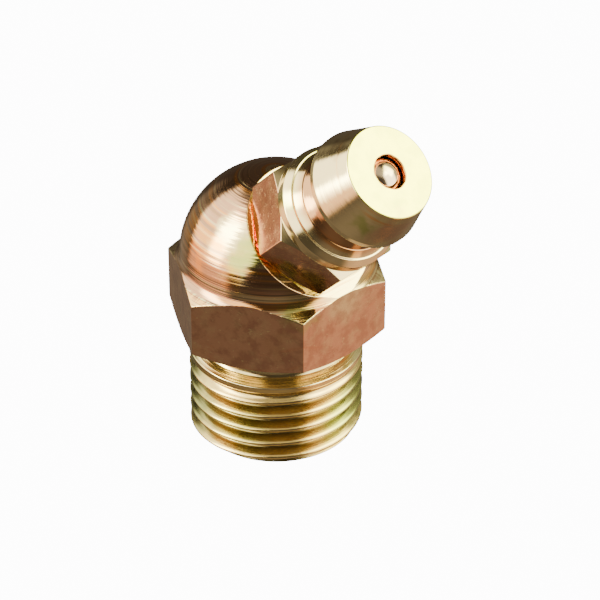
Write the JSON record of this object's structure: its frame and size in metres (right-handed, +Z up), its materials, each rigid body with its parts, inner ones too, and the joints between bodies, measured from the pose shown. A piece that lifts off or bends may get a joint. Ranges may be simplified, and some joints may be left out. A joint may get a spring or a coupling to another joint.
{
  "type": "grease nipple",
  "caption": "Grease nipple with a 45 degree elbow: parallel pipe thread, spanner hexagon, domed body and a screwed-in coupler head with a spring-loaded check ball.",
  "frame": {"origin": "centre of the thread's end face", "axes": "+Z up the thread axis, towards the dome; the nipple leans 45 degrees from +Z towards +X, in the XZ plane; two flats of the large hexagon face +X and -X"},
  "size_m": [0.0157, 0.0126, 0.0215],
  "materials": {
    "body_steel": "satin yellow zinc plate over turned steel",
    "nipple_steel": "satin yellow zinc plate over turned steel",
    "ball_steel": "polished",
    "spring_steel": "bright drawn wire"
  },
  "bodies": {
    "fitting": {"elbow_body": "body_steel", "nipple_head": "nipple_steel", "ball_spring": "spring_steel"},
    "valve_ball": {"check_ball": "ball_steel"}
  },
  "joints": [
    {"name": "ball_slide", "type": "slide", "parent": "fitting", "child": "valve_ball", "axis": [-0.7071, 0, -0.7071], "range_m": [0, 0.0008], "stiffness_N_per_m": 500, "deforming": ["ball_spring"]}
  ]
}
